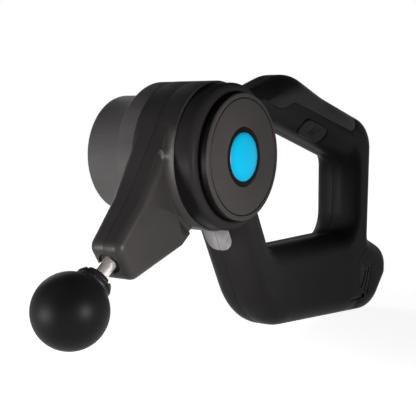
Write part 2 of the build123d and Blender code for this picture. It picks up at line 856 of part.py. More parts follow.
cell_inset = bay_wall + 2 * slide_gap + case_thickness
cell_room = 2 * (bay_half - cell_inset)
cell_front = case_front + cell_front_gap
cell_back = case_end - cell_rear_gap
with BuildPart() as battery_cells:
    with BuildSketch(Plane.XZ):
        with Locations(((cell_front + cell_back) / 2, (bay_top + bay_bottom) / 2)):
            RectangleRounded(cell_back - cell_front, bay_top - bay_bottom - 2 * cell_inset, cell_corner)
    extrude(amount=cell_room / 2, both=True)
    for step in range(1, cell_count):
        with BuildSketch(upright(-cell_room / 2 + step * cell_room / cell_count)):
            with Locations(((cell_front + cell_back) / 2, (bay_top + bay_bottom) / 2)):
                Rectangle(wide, beyond)
        extrude(amount=cell_gap / 2, both=True, mode=Mode.SUBTRACT)
battery_cells.part.label = "battery_cells"
export_step(battery_cells.part, "parts/battery_cells.step")

grip_arcs = []
for k in range(grip_count):
    top = (grip_top[0] + k * grip_top_step[0], grip_top[1] + k * grip_top_step[1])
    low = (grip_low[0] + k * grip_low_step[0], grip_low[1] + k * grip_low_step[1])
    bulge = ((top[0] + low[0]) / 2 + grip_bulge, (top[1] + low[1]) / 2)
    grip_arcs.append(ThreePointArc(top, bulge, low))

with BuildPart() as end_cap:
    add(loop)
    add(loop_cavity, mode=Mode.SUBTRACT)
    add(battery_region(-battery_gap / 2), mode=Mode.INTERSECT)
    add(cap_wall())
    add(bay_slug(bay_wall + slide_gap - seat_gap, bay_mouth, case_end + past), mode=Mode.SUBTRACT)
    add(latch_slug(0, bay_mouth, latch_slot[1], -beyond, latch_floor), mode=Mode.SUBTRACT)
    for arc in grip_arcs:
        with BuildSketch(upright(-case_half + grip_groove_depth)):
            SlotArc(arc=arc, height=grip_groove_width)
        extrude(amount=beyond, mode=Mode.SUBTRACT)
    with BuildSketch(Plane.YZ.offset(socket_front)):
        with Locations((0, socket_height)):
            Circle(socket_outer + seat_gap)
    extrude(amount=beyond, mode=Mode.SUBTRACT)
end_cap.part.label = "battery_end_cap"
export_step(end_cap.part, "parts/battery_end_cap.step")

with BuildPart() as charge_socket:
    with BuildSketch(Plane.YZ.offset(socket_front)):
        with Locations((0, socket_height)):
            Circle(socket_outer)
    extrude(amount=socket_back - socket_front)
    with BuildSketch(Plane.YZ.offset(socket_back)):
        with Locations((0, socket_height)):
            Circle(socket_radius)
    extrude(amount=-socket_depth, mode=Mode.SUBTRACT)
charge_socket.part.label = "charge_socket"
export_step(charge_socket.part, "parts/charge_socket.step")

with BuildPart() as battery_latch:
    back = latch_floor - latch_travel - latch_rest
    add(latch_slug(-slide_gap, latch_slot[0] + past, latch_slot[1], -case_half + latch_recess, back))
battery_latch.part.label = "battery_latch"
export_step(battery_latch.part, "parts/battery_latch.step")

# ---- Release button, its badge and lock ----
with BuildPart() as release_button:
    with BuildSketch(Plane.XY):
        with BuildLine():
            Polyline(
                (0, button_face),
                (button_radius, button_face),
                (button_radius, button_skirt),
                (button_radius - button_rim, button_skirt),
                (button_radius - button_rim, button_face + button_wall),
                (0, button_face + button_wall),
                close=True,
            )
        make_face()
    revolve(axis=Axis.Y)
    fillet(release_button.edges().filter_by(GeomType.CIRCLE).group_by(Axis.Y)[0], button_edge)
    with BuildSketch(upright(button_face)):
        Circle(button_groove + button_groove_width / 2)
        Circle(button_groove - button_groove_width / 2, mode=Mode.SUBTRACT)
    extrude(amount=-button_groove_depth, mode=Mode.SUBTRACT)
    with BuildSketch(upright(button_face)):
        Circle(badge_ring_radius + seat_gap)
    extrude(amount=-badge_sink, mode=Mode.SUBTRACT)
release_button.part.label = "release_button"
export_step(release_button.part, "parts/release_button.step")

badge_floor = button_face + badge_sink
badge_edge = button_face + badge_lip
badge_top = button_face - badge_dome
dome_radius = (badge_radius**2 + (badge_edge - badge_top) ** 2) / (2 * (badge_edge - badge_top))
dome_sag = dome_radius - sqrt(dome_radius**2 - (badge_radius / 2) ** 2)
with BuildPart() as badge_ring:
    with BuildSketch(upright(badge_floor)):
        Circle(badge_ring_radius)
        Circle(badge_radius + seat_gap, mode=Mode.SUBTRACT)
    extrude(amount=badge_sink - badge_ring_drop)
    chamfer(badge_ring.edges().group_by(Axis.Y)[0], badge_ring_chamfer)
badge_ring.part.label = "badge_ring"
export_step(badge_ring.part, "parts/badge_ring.step")

with BuildPart() as badge:
    with BuildSketch(Plane.XY):
        with BuildLine():
            base = Line((0, badge_floor), (badge_radius, badge_floor))
            wall = Line(base @ 1, (badge_radius, badge_edge))
            dome = ThreePointArc(wall @ 1, (badge_radius / 2, badge_top + dome_sag), (0, badge_top))
            Line(dome @ 1, base @ 0)
        make_face()
    revolve(axis=Axis.Y)
badge.part.label = "badge"
export_step(badge.part, "parts/badge.step")

with BuildPart() as lock_ring:
    with BuildSketch(upright(button_face + button_wall + lock_plate)):
        Circle(lock_circle + lock_band)
        Circle(lock_circle - lock_band, mode=Mode.SUBTRACT)
    extrude(amount=lock_plate)
    add(lock_pins(lock_pin_radius, button_face + button_wall, hub_front + lock_engagement))
lock_ring.part.label = "lock_ring"
export_step(lock_ring.part, "parts/lock_ring.step")

with BuildPart() as return_spring:
    with BuildLine() as coil:
        start = (0, button_face + button_wall + spring_wire / 2, 0)
        Helix(spring_pitch, spring_height, spring_radius, center=start, direction=(0, 1, 0))
    with BuildSketch(Plane(origin=coil.line @ 0, z_dir=coil.line % 0)):
        Circle(spring_wire / 2)
    sweep(path=coil.line)
return_spring.part.label = "return_spring"
export_step(return_spring.part, "parts/return_spring.step")

# ---- Swing joint ----
with BuildPart() as pivot_bush:
    add(drum(pivot_bush_radius, web_front - pivot_bush_lip, web_back))
    add(drum(spindle_radius + running_fit, -beyond, 0), mode=Mode.SUBTRACT)
pivot_bush.part.label = "pivot_bush"
export_step(pivot_bush.part, "parts/pivot_bush.step")

with BuildPart() as spindle:
    add(drum(spindle_radius, spindle_front, hub_front + hub_wall))
    seat = hub_front + hub_wall
    add(drum(spindle_radius + spindle_flange, seat, seat + spindle_flange_thickness))
    add(drum(spindle_radius - spindle_wall, -beyond, beyond), mode=Mode.SUBTRACT)
spindle.part.label = "pivot_spindle"
export_step(spindle.part, "parts/pivot_spindle.step")

with BuildPart() as retainer:
    add(drum(spindle_radius + retainer_band, retainer_back - retainer_thickness, retainer_back))
    add(drum(spindle_radius + seat_gap, -beyond, 0), mode=Mode.SUBTRACT)
retainer.part.label = "spindle_retainer"
export_step(retainer.part, "parts/spindle_retainer.step")

# ---- Arm ----
arm_outside = arm_wedge(0)
arm_inside = arm_wedge(arm_wall)


def arm_solid():
    """The arm and hub together, before they are hollowed and split."""
    with BuildPart() as solid:
        add(arm_outside)
        add(drum(wide, hub_front, hub_back), mode=Mode.INTERSECT)
        add(drum(relief_radius, -beyond, hub_front + relief_depth), mode=Mode.SUBTRACT)
        add(drum(hub_radius, hub_front, hub_back))
    return solid.part


def arm_hollow():
    """Room inside the arm: a round space in the hub and a throat that ends before the shaft bush."""
    with BuildPart() as space:
        add(arm_inside)
        step_back = hub_front + relief_depth + arm_wall
        add(drum(relief_radius + arm_wall, -beyond, step_back), mode=Mode.SUBTRACT)
        add(rod(wide, throat_end, wide), mode=Mode.SUBTRACT)
        add(drum(hub_radius - hub_wall, hub_front + hub_wall, hub_back + past))
    return space.part


def swing_slots():
    """Two arc slots in the hub's near wall that stop the arm at both ends of its swing."""
    arcs = [CenterArc((0, 0), lock_circle, start, swing_limit) for start in (0, 180)]
    with BuildPart() as pair:
        with BuildSketch(upright(hub_front + hub_wall)):
            for arc in arcs:
                SlotArc(arc=arc, height=2 * (lock_pin_radius + slide_gap))
        extrude(amount=hub_wall + past)
    return pair.part


arm_body = arm_solid()
arm_room = arm_hollow()
slots = swing_slots()


def arm_shell(y_from, y_to):
    """The hollow arm between two planes across the swing axis."""
    with BuildPart() as shell:
        add(arm_body)
        add(arm_room, mode=Mode.SUBTRACT)
        add(slots, mode=Mode.SUBTRACT)
        add(drum(spindle_radius + seat_gap, -beyond, 0), mode=Mode.SUBTRACT)
        add(rod(bush_radius + seat_gap, throat_end - past, bush_end), mode=Mode.SUBTRACT)
        add(rod(seal_radius, bush_end - past, arm_tip[0] + past), mode=Mode.SUBTRACT)
        add(arm_parting(), mode=Mode.SUBTRACT)
        add(drum(wide, y_from, y_to), mode=Mode.INTERSECT)
    return shell.part


with BuildPart() as arm_near:
    add(arm_shell(hub_front - past, arm_mid))
    add(arm_screw_slugs(arm_screw_tip - past, beyond, screw_radius), mode=Mode.SUBTRACT)
arm_near.part.label = "arm_near_shell"
export_step(arm_near.part, "parts/arm_near_shell.step")

with BuildPart() as arm_far:
    add(arm_shell(arm_mid, hub_back + past))
    add(arm_screw_slugs(0, beyond, screw_radius + seat_gap), mode=Mode.SUBTRACT)
    add(arm_screw_slugs(arm_screw_head, beyond, screw_head + seat_gap), mode=Mode.SUBTRACT)
arm_far.part.label = "arm_far_shell"
export_step(arm_far.part, "parts/arm_far_shell.step")

with BuildPart() as arm_screws:
    add(arm_screw_slugs(arm_screw_tip, arm_screw_head, screw_radius - press_gap))
    add(arm_screw_slugs(arm_screw_head, arm_screw_head + head_thickness, screw_head))
arm_screws.part.label = "arm_screws"
export_step(arm_screws.part, "parts/arm_screws.step")

with BuildPart() as shaft_bush:
    add(rod(bush_radius, bush_start, bush_end))
    add(rod(shaft_radius + running_fit, 0, wide), mode=Mode.SUBTRACT)
shaft_bush.part.label = "shaft_bush"
export_step(shaft_bush.part, "parts/shaft_bush.step")

with BuildPart() as nose_seal:
    add(rod(seal_radius - seat_gap, bush_end + 2 * seat_gap, arm_tip[0] - seal_recess))
    add(rod(shaft_radius + slide_gap, 0, wide), mode=Mode.SUBTRACT)
nose_seal.part.label = "nose_seal"
export_step(nose_seal.part, "parts/nose_seal.step")

# ---- Motor ----
with BuildPart() as motor_plate:
    add(drum(hub_radius - hub_wall - seat_gap, can_front - motor_plate_thickness, can_front))
    add(drum(motor_plate_bore, -beyond, beyond), mode=Mode.SUBTRACT)
motor_plate.part.label = "motor_plate"
export_step(motor_plate.part, "parts/motor_plate.step")

with BuildPart() as trim_ring:
    add(drum(ring_radius, hub_back + slide_gap, ring_back))
    step_edge = trim_ring.edges().filter_by(GeomType.CIRCLE).group_by(Axis.Y)
    fillet(step_edge[-1], ring_edge)
    chamfer(step_edge[0], ring_chamfer)
    add(drum(ring_radius - ring_wall, hub_back, ring_back - ring_wall), mode=Mode.SUBTRACT)
    add(drum(barrel_radius + barrel_gap, 0, beyond), mode=Mode.SUBTRACT)
trim_ring.part.label = "trim_ring"
export_step(trim_ring.part, "parts/trim_ring.step")

with BuildPart() as barrel:
    add(drum(barrel_radius, barrel_front, barrel_back))
    fillet(barrel.edges().filter_by(GeomType.CIRCLE).group_by(Axis.Y)[-1], barrel_edge)
    flange_back = ring_back - ring_wall - seat_gap
    add(drum(ring_radius - ring_wall - seat_gap, flange_back - barrel_flange, flange_back))
    add(drum(barrel_radius - barrel_wall, 0, barrel_back - barrel_wall), mode=Mode.SUBTRACT)
barrel.part.label = "motor_barrel"
export_step(barrel.part, "parts/motor_barrel.step")

with BuildPart() as motor_can:
    add(drum(motor_radius, can_front, can_back))
    add(drum(motor_radius - can_wall, can_front + can_wall, wide), mode=Mode.SUBTRACT)
    add(drum(bearing_radius + bearing_cup_wall, can_front, can_front + bearing_cup))
    add(drum(bearing_radius + seat_gap, can_front + bearing_floor, wide), mode=Mode.SUBTRACT)
    add(drum(motor_shaft_radius + can_wall, 0, wide), mode=Mode.SUBTRACT)
motor_can.part.label = "motor_can"
export_step(motor_can.part, "parts/motor_can.step")

bell_bore_end = can_back + motor_shaft_end + 2 * seat_gap
rear_seat = bell_bore_end - 4 * seat_gap - bearing_width
with BuildPart() as end_bell:
    add(drum(motor_radius, can_back, can_back + bell_thickness))
    add(drum(bearing_radius + bearing_cup_wall, can_back - bell_cup, can_back + past))
    add(drum(bearing_radius + seat_gap, can_back - bell_cup - past, bell_bore_end), mode=Mode.SUBTRACT)
    with BuildSketch(upright(can_back + bell_thickness + past)):
        with PolarLocations(vent_circle, vent_count):
            Circle(vent_radius)
    extrude(amount=bell_thickness + 2 * past, mode=Mode.SUBTRACT)
end_bell.part.label = "motor_end_bell"
export_step(end_bell.part, "parts/motor_end_bell.step")

with BuildPart() as stator:
    with BuildSketch(upright(stator_back)):
        Circle(motor_radius - can_wall - seat_gap)
        Circle(stator_bore, mode=Mode.SUBTRACT)
        with PolarLocations(tooth_circle, stator_teeth):
            Rectangle(tooth_length, tooth_width)
        with PolarLocations(shoe_circle, stator_teeth):
            Rectangle(shoe_thickness, shoe_width)
    extrude(amount=stator_back - stator_front)
stator.part.label = "motor_stator"
export_step(stator.part, "parts/motor_stator.step")

with BuildPart() as windings:
    with BuildSketch(upright(stator_back + winding_height)):
        with PolarLocations(tooth_circle, stator_teeth):
            Rectangle(winding_length, tooth_width + 2 * winding_side)
    extrude(amount=stator_back - stator_front + 2 * winding_height)
    with BuildSketch(upright(stator_back)):
        with PolarLocations(tooth_circle, stator_teeth):
            Rectangle(2 * winding_length, tooth_width)
    extrude(amount=stator_back - stator_front, mode=Mode.SUBTRACT)
windings.part.label = "motor_windings"
export_step(windings.part, "parts/motor_windings.step")

for label, seat in (("front", can_front + bearing_floor), ("rear", rear_seat)):
    with BuildPart() as bearing:
        add(drum(bearing_radius, seat, seat + bearing_width))
        add(drum(motor_shaft_radius + running_fit, -beyond, wide), mode=Mode.SUBTRACT)
    bearing.part.label = f"{label}_bearing"
    export_step(bearing.part, f"parts/{label}_bearing.step")

with BuildPart() as rotor:
    add(drum(rotor_radius, stator_front, stator_back))
    add(drum(motor_shaft_radius + press_gap, -beyond, wide), mode=Mode.SUBTRACT)
    with BuildSketch(upright(stator_back + past)):
        with PolarLocations(rotor_radius, magnet_count):
            Rectangle(magnet_slot_depth, magnet_slot_width)
    extrude(amount=stator_back - stator_front + 2 * past, mode=Mode.SUBTRACT)
rotor.part.label = "motor_rotor"
export_step(rotor.part, "parts/motor_rotor.step")

with BuildPart() as motor_shaft:
    add(drum(motor_shaft_radius, crank_front, can_back + motor_shaft_end))
motor_shaft.part.label = "motor_shaft"
export_step(motor_shaft.part, "parts/motor_shaft.step")

# ---- Crank and stroke shaft ----
throw = stroke / 2
pin_along = stroke_in - throw
pin_across = sqrt(throw**2 - pin_along**2)
pin_angle = degrees(atan2(pin_across, pin_along))
with BuildPart() as crank:
    with BuildSketch(arm_plane(crank_front)):
        Circle(counterweight_radius)
        Rectangle(wide, wide, rotation=pin_angle, align=(Align.MIN, Align.CENTER), mode=Mode.SUBTRACT)
        Circle(crank_boss)
        with Locations((pin_along, pin_across)):
            Circle(pin_boss)
        with Locations((pin_along / 2, pin_across / 2)):
            Rectangle(throw, 2 * pin_boss, rotation=pin_angle)
        Circle(motor_shaft_radius + press_gap, mode=Mode.SUBTRACT)
        with Locations((pin_along, pin_across)):
            Circle(pin_radius + press_gap, mode=Mode.SUBTRACT)
    extrude(amount=crank_thickness)
crank.part.label = "crank"
export_step(crank.part, "parts/crank.step")

with BuildPart() as crank_pin:
    with BuildSketch(arm_plane(yoke_front - pin_end)):
        with Locations((pin_along, pin_across)):
            Circle(pin_radius)
    extrude(amount=crank_front + crank_thickness - yoke_front + pin_end)
crank_pin.part.label = "crank_pin"
export_step(crank_pin.part, "parts/crank_pin.step")

with BuildPart() as pin_roller:
    with BuildSketch(arm_plane(yoke_front)):
        with Locations((pin_along, pin_across)):
            Circle(roller_radius)
            Circle(pin_radius + press_gap, mode=Mode.SUBTRACT)
    extrude(amount=yoke_thickness)
pin_roller.part.label = "crank_pin_roller"
export_step(pin_roller.part, "parts/crank_pin_roller.step")

# The roller turns and the yoke slides each on its own here, so the yoke's window clears both.
reach = throw + roller_radius + yoke_clearance
window_back = -reach - (stroke - stroke_in)
window_front = reach + stroke_in
yoke_end = window_front + yoke_bar
with BuildPart() as yoke:
    with BuildSketch(arm_plane(yoke_front)):
        with Locations(((window_back + window_front) / 2, 0)):
            length = window_front - window_back
            RectangleRounded(length + 2 * yoke_bar, 2 * (reach + yoke_bar), yoke_outer_corner)
            RectangleRounded(length, 2 * reach, yoke_corner, mode=Mode.SUBTRACT)
    extrude(amount=yoke_thickness)
    add(rod(yoke_boss, yoke_end - yoke_boss_root, yoke_end + yoke_boss_length))
    add(rod(shaft_radius + press_gap, yoke_end, wide), mode=Mode.SUBTRACT)
yoke.part.label = "yoke"
export_step(yoke.part, "parts/yoke.step")

with BuildPart() as drive_shaft:
    add(rod(shaft_radius, yoke_end, shaft_tip))
    tips = drive_shaft.edges().filter_by(GeomType.CIRCLE)
    chamfer(tips.sort_by_distance(arm_station(shaft_tip).origin)[0], shaft_chamfer)
drive_shaft.part.label = "drive_shaft"
export_step(drive_shaft.part, "parts/drive_shaft.step")

# ---- Massage head ----
def turned_on_arm(profile):
    """A body turned on the arm's axis from its profile, drawn along it and out from it."""
    with BuildPart() as body:
        with BuildSketch(arm_plane()):
            with BuildLine():
                Polyline(*profile, close=True)
            make_face()
        revolve(axis=Axis(origin=(0, arm_mid, 0), direction=arm_plane().x_dir))
    return body.part


head_bore = shaft_radius + running_fit
insert_front = collar_start + collar_length
skirt_end = insert_front + collar_lap
with BuildPart() as ball:
    with BuildSketch(arm_plane()):
        with Locations((ball_centre, 0)):
            Circle(ball_radius)
        with Locations((ball_centre, -ball_radius)):
            Rectangle(4 * ball_radius, 2 * ball_radius, mode=Mode.SUBTRACT)
        with Locations((shaft_tip + insert_end, 0)):
            bore = 2 * (insert_radius + running_fit)
            Rectangle(beyond, bore, align=(Align.MAX, Align.CENTER), mode=Mode.SUBTRACT)
    revolve(axis=Axis(origin=(0, arm_mid, 0), direction=arm_plane().x_dir))
ball.part.label = "rubber_ball"
export_step(ball.part, "parts/rubber_ball.step")

with BuildPart() as head_collar:
    add(turned_on_arm([
        (collar_start, collar_radius - collar_lip),
        (collar_start, collar_radius - collar_chamfer),
        (collar_start + collar_nose, collar_radius - collar_draft),
        (collar_start + collar_groove_start, collar_radius - collar_draft),
        (collar_start + collar_groove_start, collar_radius - collar_groove_depth),
        (collar_start + collar_groove_end, collar_radius - collar_groove_depth),
        (collar_start + collar_groove_end, collar_radius),
        (skirt_end, collar_radius),
        (skirt_end, insert_radius + seat_gap),
        (insert_front, insert_radius + seat_gap),
        (insert_front, head_bore),
        (insert_front - collar_floor, head_bore),
        (insert_front - collar_floor, collar_radius - collar_wall),
    ]))
    with BuildSketch(arm_station(collar_start - past)):
        for turn in (0, 90):
            Rectangle(4 * collar_radius, collar_slot, rotation=turn)
        Circle(shaft_radius, mode=Mode.SUBTRACT)
    extrude(amount=past + insert_front - collar_floor - collar_start, mode=Mode.SUBTRACT)
    add(ball.part, mode=Mode.SUBTRACT)
head_collar.part.label = "head_collar"
export_step(head_collar.part, "parts/head_collar.step")

with BuildPart() as head_insert:
    add(rod(insert_radius, insert_front, shaft_tip + insert_end - running_fit))
    add(rod(head_bore, 0, shaft_tip + insert_room), mode=Mode.SUBTRACT)
head_insert.part.label = "head_insert"
export_step(head_insert.part, "parts/head_insert.step")
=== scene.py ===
import json
import math

import bpy
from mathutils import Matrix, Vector

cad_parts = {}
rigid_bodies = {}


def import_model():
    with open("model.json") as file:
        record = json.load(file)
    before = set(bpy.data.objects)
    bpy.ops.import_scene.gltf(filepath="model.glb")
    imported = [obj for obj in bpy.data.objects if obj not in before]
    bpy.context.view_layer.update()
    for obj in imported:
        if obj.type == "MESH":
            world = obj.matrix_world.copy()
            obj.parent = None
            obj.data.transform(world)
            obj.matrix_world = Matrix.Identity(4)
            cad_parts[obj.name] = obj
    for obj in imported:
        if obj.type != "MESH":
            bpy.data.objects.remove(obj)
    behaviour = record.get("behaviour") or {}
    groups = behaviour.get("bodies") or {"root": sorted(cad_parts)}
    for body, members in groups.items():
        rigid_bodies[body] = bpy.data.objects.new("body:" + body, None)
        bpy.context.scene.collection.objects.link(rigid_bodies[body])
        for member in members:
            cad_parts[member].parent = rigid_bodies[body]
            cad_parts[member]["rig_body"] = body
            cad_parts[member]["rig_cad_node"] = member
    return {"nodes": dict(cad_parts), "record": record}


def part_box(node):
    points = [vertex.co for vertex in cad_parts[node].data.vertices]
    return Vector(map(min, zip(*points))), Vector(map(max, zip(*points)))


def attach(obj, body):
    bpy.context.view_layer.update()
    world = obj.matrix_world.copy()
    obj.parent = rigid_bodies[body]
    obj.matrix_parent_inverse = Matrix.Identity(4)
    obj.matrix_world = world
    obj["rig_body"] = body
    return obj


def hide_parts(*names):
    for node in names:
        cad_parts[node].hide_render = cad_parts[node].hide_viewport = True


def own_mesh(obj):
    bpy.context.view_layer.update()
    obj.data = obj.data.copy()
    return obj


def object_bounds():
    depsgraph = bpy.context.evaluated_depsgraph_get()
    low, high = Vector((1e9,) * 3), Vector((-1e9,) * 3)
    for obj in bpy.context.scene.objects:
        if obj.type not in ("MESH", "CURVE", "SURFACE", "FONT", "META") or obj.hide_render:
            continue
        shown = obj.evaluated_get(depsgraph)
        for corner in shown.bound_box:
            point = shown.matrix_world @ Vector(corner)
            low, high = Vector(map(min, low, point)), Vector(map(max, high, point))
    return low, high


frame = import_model()
cadLow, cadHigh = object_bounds()
nodes = frame["nodes"]
bodies = frame["record"]["behaviour"]["bodies"]
slotOfNode = {entry["node"]: entry["material_slot"] for entry in frame["record"]["subparts"]}
bodyOfNode = {node: body for body, members in bodies.items() for node in members}
print("frame loaded:", len(nodes), "nodes")


def setSockets(node, values):
    for key, value in values.items():
        node.inputs[key].default_value = value


def addNode(tree, kind, settings=None, values=None):
    node = tree.nodes.new(kind)
    for key, value in (settings or {}).items():
        setattr(node, key, value)
    setSockets(node, values or {})
    return node


def useGroup(tree, group, values=None):
    return addNode(tree, "ShaderNodeGroup", {"node_tree": group}, values)


def join(tree, *pairs):
    for output, socket in pairs:
        tree.links.new(output, socket)


def rgba(color):
    return (*color, 1.0)


def newMaterial(name):
    material = bpy.data.materials.new(name)
    material.use_nodes = True
    tree = material.node_tree
    return material, tree, tree.nodes["Principled BSDF"]


def objectPoint(tree):
    return tree.nodes.new("ShaderNodeTexCoord").outputs["Object"]


def larger(tree, first, second):
    node = addNode(tree, "ShaderNodeMath", {"operation": "MAXIMUM"})
    join(tree, (first, node.inputs[0]), (second, node.inputs[1]))
    return node.outputs[0]


def reflectedRays(tree, path):
    return larger(tree, path.outputs["Is Glossy Ray"], path.outputs["Is Transmission Ray"])


# distances in metres, angles in degrees
camera = {
    "azimuth": -54.70, "elevation": 5.67, "distance": 0.56,
    "target": (-0.0016, -0.0011, -0.0306),
    "lens": 82.2, "sensor": 36, "nearest": 0.01,
}

lamps = {
    "keyLamp": {
        "place": (-0.13, -0.45, -0.03), "aim": (-0.07, 0.0, -0.045),
        "size": 0.1, "spread": 48, "power": 0.32, "tint": (1.0, 0.955, 0.93),
    },
    "sideLamp": {
        "place": (-0.4, 0.17, -0.108), "aim": (-0.02, 0.03, -0.05),
        "size": 0.1, "spread": 70, "power": 0.58, "tint": (1.0, 0.97, 0.965),
    },
    "backLamp": {
        "place": (0.5, 0.9, 0.35), "aim": (0.06, 0.0, -0.03),
        "size": 0.6, "spread": 150, "power": 1.6, "tint": (1.0, 1.0, 1.0),
    },
}

# strength of the backdrop as it is seen, as it is mirrored (between the heights "horizon" and
# "overhead", where 1 is straight up) and as soft light (between "softFrom" and "softTo")
studio = {
    "seen": 1.0,
    "mirroredLow": 0.8, "mirroredHigh": 0.06, "horizon": 0.05, "overhead": 0.4,
    "softLow": 0.07, "softHigh": 0.0, "softFrom": -0.3, "softTo": 0.8,
}

# the floor glows a little less under the object, and lights it less than it shows
floor = {
    "size": 30.0, "gap": 0.0004, "tone": (0.8, 0.8, 0.8), "rough": 0.9, "gloss": 0.1,
    "nearGlow": 0.9, "farGlow": 1.0, "nearRadius": 0.22, "farRadius": 0.9, "bounce": 0.2,
}


def pointAlong(thing, direction):
    thing.rotation_mode = "QUATERNION"
    thing.rotation_quaternion = direction.to_track_quat("-Z", "Y")


def addCamera():
    azimuth, elevation = math.radians(camera["azimuth"]), math.radians(camera["elevation"])
    back = Vector((
        math.sin(azimuth) * math.cos(elevation),
        -math.cos(azimuth) * math.cos(elevation),
        math.sin(elevation),
    ))
    place = Vector(camera["target"]) + back * camera["distance"]
    bpy.ops.object.camera_add(location=place)
    view = bpy.context.object
    view.name = "studioCamera"
    view.data.sensor_width = camera["sensor"]
    view.data.lens = camera["lens"]
    view.data.clip_start = camera["nearest"]
    pointAlong(view, -back)
    bpy.context.scene.camera = view


def addLamps():
    for name, lamp in lamps.items():
        bpy.ops.object.light_add(type="AREA", location=lamp["place"])
        light = bpy.context.object
        light.name = name
        light.data.shape = "DISK"
        light.data.size = lamp["size"]
        light.data.spread = math.radians(lamp["spread"])
        light.data.energy = lamp["power"]
        light.data.color = lamp["tint"]
        pointAlong(light, Vector(lamp["aim"]) - Vector(lamp["place"]))


def addBackdrop():
    world = bpy.data.worlds.new("studioWorld")
    bpy.context.scene.world = world
    world.use_nodes = True
    tree = world.node_tree
    background = tree.nodes["Background"]
    background.inputs["Color"].default_value = (1, 1, 1, 1)
    direction = addNode(tree, "ShaderNodeTexCoord")
    height = addNode(tree, "ShaderNodeSeparateXYZ")
    soft = addNode(tree, "ShaderNodeMapRange", values={
        "From Min": studio["softFrom"], "From Max": studio["softTo"],
        "To Min": studio["softLow"], "To Max": studio["softHigh"],
    })
    mirrored = addNode(tree, "ShaderNodeMapRange", {"interpolation_type": "SMOOTHSTEP"}, {
        "From Min": studio["horizon"], "From Max": studio["overhead"],
        "To Min": studio["mirroredLow"], "To Max": studio["mirroredHigh"],
    })
    path = addNode(tree, "ShaderNodeLightPath")
    lighting = addNode(tree, "ShaderNodeMix")
    level = addNode(tree, "ShaderNodeMix", values={"B": studio["seen"]})
    join(
        tree,
        (direction.outputs["Generated"], height.inputs[0]),
        (height.outputs["Z"], soft.inputs["Value"]),
        (height.outputs["Z"], mirrored.inputs["Value"]),
        (reflectedRays(tree, path), lighting.inputs["Factor"]),
        (soft.outputs["Result"], lighting.inputs["A"]),
        (mirrored.outputs["Result"], lighting.inputs["B"]),
        (path.outputs["Is Camera Ray"], level.inputs["Factor"]),
        (lighting.outputs["Result"], level.inputs["A"]),
        (level.outputs["Result"], background.inputs["Strength"]),
    )


def addFloor():
    bpy.ops.mesh.primitive_plane_add(size=floor["size"], location=(0, 0, cadLow.z - floor["gap"]))
    ground = bpy.context.object
    ground.name = "studioFloor"
    material, tree, shader = newMaterial("floorPaper")
    setSockets(shader, {
        "Base Color": rgba(floor["tone"]), "Roughness": floor["rough"],
        "Specular IOR Level": floor["gloss"], "Emission Color": (1, 1, 1, 1),
    })
    reach = addNode(tree, "ShaderNodeVectorMath", {"operation": "LENGTH"})
    glow = addNode(tree, "ShaderNodeMapRange", {"interpolation_type": "SMOOTHSTEP"}, {
        "From Min": floor["nearRadius"], "From Max": floor["farRadius"],
        "To Min": floor["nearGlow"], "To Max": floor["farGlow"],
    })
    strength = addNode(tree, "ShaderNodeMix", values={"A": floor["bounce"]})
    path = addNode(tree, "ShaderNodeLightPath")
    seen = larger(tree, path.outputs["Is Camera Ray"], reflectedRays(tree, path))
    join(
        tree,
        (objectPoint(tree), reach.inputs[0]),
        (reach.outputs["Value"], glow.inputs["Value"]),
        (seen, strength.inputs["Factor"]),
        (glow.outputs["Result"], strength.inputs["B"]),
        (strength.outputs["Result"], shader.inputs["Emission Strength"]),
    )
    ground.data.materials.append(material)


addCamera()
addLamps()
addBackdrop()
addFloor()
bpy.context.scene.view_settings.view_transform = "Standard"
print("camera, lamps and floor placed")


def newGroup(name, inputs, outputs):
    group = bpy.data.node_groups.new(name, "ShaderNodeTree")
    for label, kind, value in inputs:
        socket = group.interface.new_socket(label, in_out="INPUT", socket_type=kind)
        socket.default_value = value
    for label, kind in outputs:
        group.interface.new_socket(label, in_out="OUTPUT", socket_type=kind)
    return group, group.nodes.new("NodeGroupInput"), group.nodes.new("NodeGroupOutput")


# "noiseShare" of the grain is noise, and the rest is cells
grainPattern = {"scale": 2200.0, "noiseShare": 0.5, "detail": 3.0, "rough": 0.6, "strength": 0.6}


def buildMouldGrain():
    # fine spark-eroded grain: small cells broken up by noise
    group, given, result = newGroup(
        "mouldGrain",
        [("Scale", "NodeSocketFloat", grainPattern["scale"])],
        [("Height", "NodeSocketFloat")],
    )
    point = objectPoint(group)
    cells = addNode(group, "ShaderNodeTexVoronoi", {"feature": "F1"})
    noise = addNode(group, "ShaderNodeTexNoise", values={
        "Detail": grainPattern["detail"], "Roughness": grainPattern["rough"],
    })
    mix = addNode(group, "ShaderNodeMix", {"data_type": "FLOAT"}, {
        "Factor": grainPattern["noiseShare"],
    })
    join(
        group,
        (point, cells.inputs["Vector"]),
        (point, noise.inputs["Vector"]),
        (given.outputs["Scale"], cells.inputs["Scale"]),
        (given.outputs["Scale"], noise.inputs["Scale"]),
        (cells.outputs["Distance"], mix.inputs["A"]),
        (noise.outputs["Fac"], mix.inputs["B"]),
        (mix.outputs["Result"], result.inputs["Height"]),
    )
    return group


# noise below "clean" is untouched and above "wiped" is wholly lighter
patchPattern = {
    "scale": 26.0, "spread": 0.08, "detail": 4.0, "rough": 0.55, "distortion": 0.6,
    "clean": 0.38, "wiped": 0.68,
}


